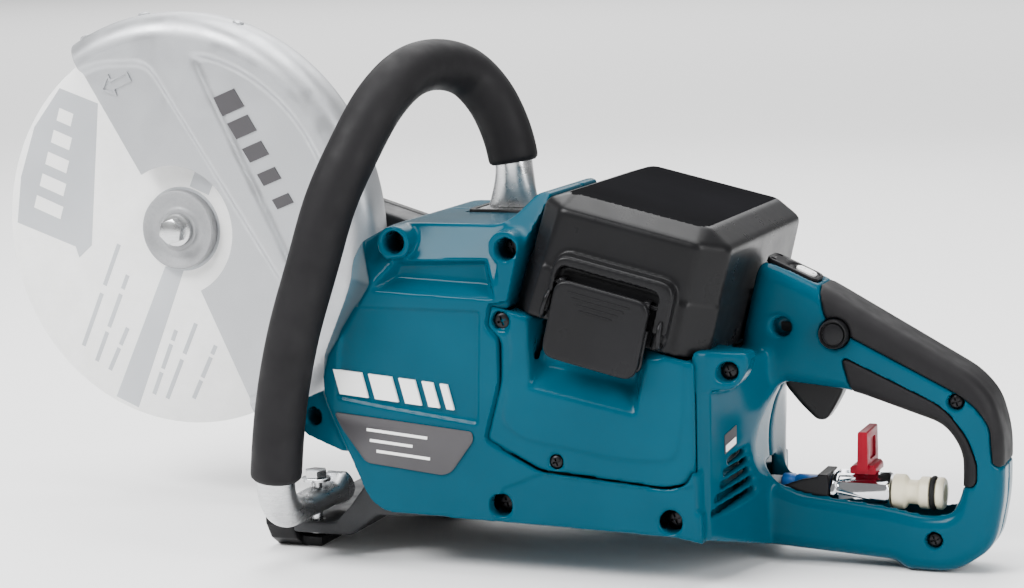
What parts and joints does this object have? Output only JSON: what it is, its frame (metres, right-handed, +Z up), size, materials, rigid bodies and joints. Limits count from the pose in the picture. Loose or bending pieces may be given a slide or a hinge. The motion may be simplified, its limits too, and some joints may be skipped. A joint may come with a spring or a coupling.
{
  "type": "rescue saw",
  "caption": "Battery power cutter for rescue work: guarded cutting wheel on a belt arm, wrap-around front handle, closed rear handle with trigger, latched battery cover and water valve.",
  "frame": {"origin": "on the floor below the middle of the machine", "axes": "+Z up, -X towards the cutting wheel, +X towards the rear handle, -Y the operator's left side"},
  "size_m": [0.604, 0.2272, 0.287],
  "materials": {
    "teal": "glossy moulded teal plastic",
    "rubber": "dark grey soft rubber overmould",
    "label": "dark grey printed plate with nothing on it",
    "circuit": "dark potted circuit board",
    "black": "satin black moulded plastic",
    "fastener": "blackened steel",
    "winding": "lacquered copper winding on a laminated core",
    "rotor": "laminated steel",
    "steel": "plain machined or tumbled steel",
    "belt": "black rubber",
    "casting": "dark grey painted casting",
    "flange": "turned steel",
    "abrasive": "off-white coated cutting wheel",
    "silver": "matt silver sheet metal",
    "panel": "glossy black panel",
    "white": "pale moulded button",
    "chrome": "bright plated",
    "red": "red coated lever",
    "nylon": "cream nylon",
    "blue": "blue moulded fitting",
    "hose": "grey flexible hose",
    "contact": "plated contact block"
  },
  "bodies": {
    "saw": {"left_housing": "teal", "right_housing": "teal", "grip_upper": "rubber", "grip_lower": "rubber", "nameplate": "label", "battery_case": "teal", "controller": "circuit", "cover_hinge_pin": "fastener", "motor_stator": "winding", "motor_bearing_left": "steel", "motor_bearing_right": "steel", "drive_belt": "belt", "arm_housing": "casting", "belt_cover": "black", "spindle_bearing_wheel": "steel", "spindle_bearing_belt": "steel", "front_handle_tube": "steel", "front_handle_sleeve": "rubber", "handle_top_plate": "steel", "handle_washer": "steel", "handle_screw": "steel", "base_bracket": "casting", "skid_plate": "black", "trigger_pin": "steel", "trigger_switch": "black", "power_panel": "panel", "valve_bracket": "black", "valve_body": "chrome", "hose_plug": "nylon", "hose_plug_ring": "belt", "hose_coupling": "blue", "water_hose": "hose", "water_nozzle": "black", "battery_pack_left": "black", "battery_terminal_left": "contact", "battery_pack_right": "black", "battery_terminal_right": "contact", "grip_screw_upper": "fastener", "grip_screw_lower": "fastener"},
    "wheel": {"cutting_wheel": "abrasive", "outer_flange": "flange", "inner_flange": "flange", "wheel_bolt": "steel", "spindle": "steel", "driven_pulley": "steel"},
    "rotor": {"rotor_shaft": "steel", "rotor_core": "rotor", "cooling_fan": "black", "drive_pulley": "steel"},
    "guard": {"wheel_guard": "silver", "guard_clamp": "casting"},
    "trigger": {"trigger": "black"},
    "lock_off": {"lock_off_button": "black"},
    "power_switch": {"power_button": "white"},
    "cover": {"battery_cover": "black"},
    "latch": {"latch_lever": "black", "latch_bail": "fastener", "latch_pin": "fastener"},
    "valve_handle": {"valve_lever": "red"}
  },
  "joints": [
    {"name": "wheel_spin", "type": "hinge", "parent": "saw", "child": "wheel", "pos_m": [-0.187, 0.042, 0.161], "axis": [0, 1, 0], "continuous": true},
    {"name": "rotor_spin", "type": "hinge", "parent": "saw", "child": "rotor", "pos_m": [0.012, 0, 0.105], "axis": [0, 1, 0], "continuous": true},
    {"name": "guard_turn", "type": "hinge", "parent": "saw", "child": "guard", "pos_m": [-0.187, 0.045, 0.161], "axis": [0, 1, 0], "range_deg": [-30, 40]},
    {"name": "trigger_pull", "type": "hinge", "parent": "saw", "child": "trigger", "pos_m": [0.193, 0, 0.103], "axis": [0, -1, 0], "range_deg": [0, 14], "stiffness_Nm_per_rad": 0.6, "springref_deg": -5.73},
    {"name": "lock_off_push", "type": "slide", "parent": "saw", "child": "lock_off", "axis": [0, 1, 0], "range_m": [0, 0.003], "stiffness_N_per_m": 900, "springref_m": -0.002},
    {"name": "power_press", "type": "slide", "parent": "saw", "child": "power_switch", "axis": [-0.4117, 0, -0.9113], "range_m": [0, 0.0008], "stiffness_N_per_m": 1500, "springref_m": -0.001},
    {"name": "cover_open", "type": "hinge", "parent": "saw", "child": "cover", "pos_m": [0.11402, 0.0888, 0.12727], "axis": [-0.972, 0, 0.2351], "range_deg": [0, 95]},
    {"name": "latch_lift", "type": "hinge", "parent": "cover", "child": "latch", "pos_m": [0.11924, -0.0846, 0.14885], "axis": [-0.972, 0, 0.2351], "range_deg": [0, 95]},
    {"name": "valve_turn", "type": "hinge", "parent": "saw", "child": "valve_handle", "pos_m": [0.229, 0, 0.05], "axis": [0, 0, 1], "range_deg": [0, 90]}
  ],
  "couplings": [
    {"joint": "rotor_spin", "follows": "wheel_spin", "ratio": 2}
  ]
}
